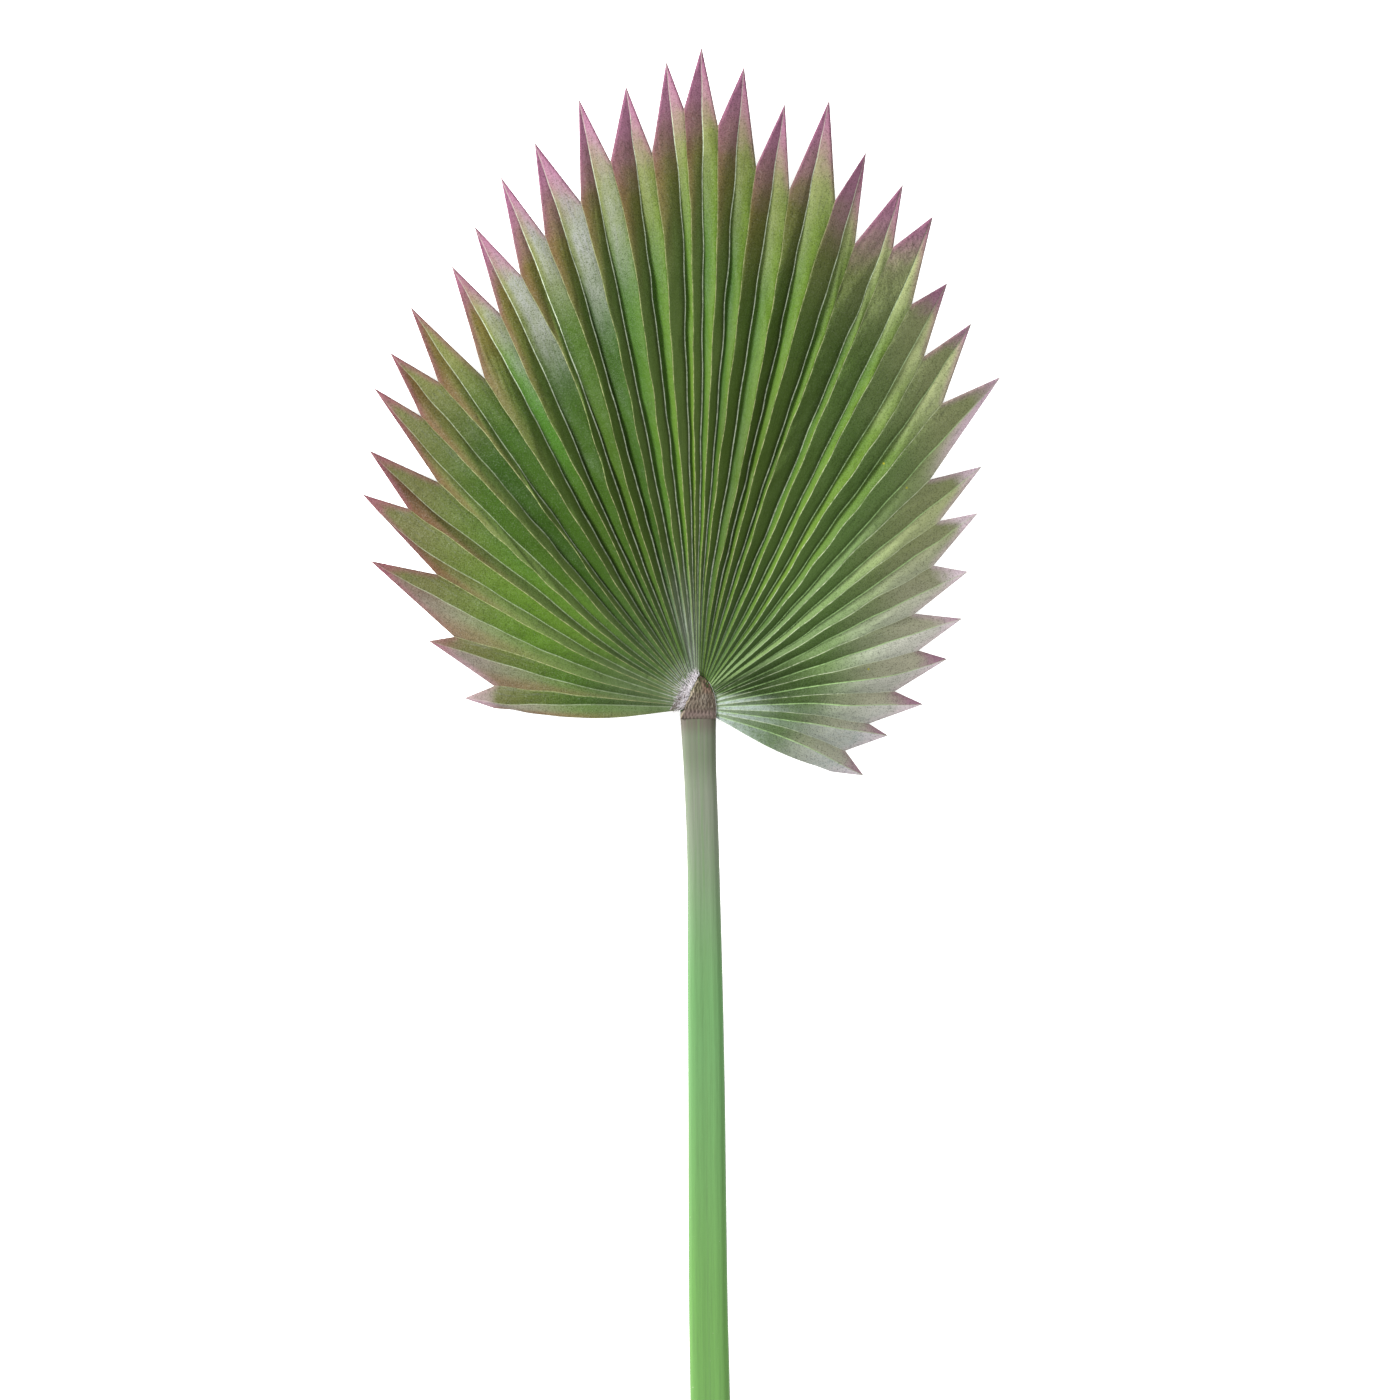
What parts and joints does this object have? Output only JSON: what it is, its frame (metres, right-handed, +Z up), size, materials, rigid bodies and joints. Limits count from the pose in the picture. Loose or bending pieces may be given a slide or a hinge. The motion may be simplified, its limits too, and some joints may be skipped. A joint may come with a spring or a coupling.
{
  "type": "fan palm leaf",
  "caption": "Cut fan palm leaf lying face up: a pleated blade of pointed segments spread from a brown collar at the end of a long green stalk.",
  "frame": {"origin": "middle of the bounding box in plan, on the surface that the leaf lies on", "axes": "+Y from the cut end of the stalk to the longest tip, +Z up out of the upper face of the leaf"},
  "size_m": [0.4198, 0.933, 0.0377],
  "materials": {
    "leaf_green": "leathery green with a grey bloom towards the edge and mauve tips",
    "stalk_green": "smooth, pale green, greyer towards the collar",
    "collar_brown": "dry, wrinkled and fibrous, matte"
  },
  "bodies": {
    "root": {"blade": "leaf_green", "stalk": "stalk_green", "collar": "collar_brown"}
  },
  "joints": []
}
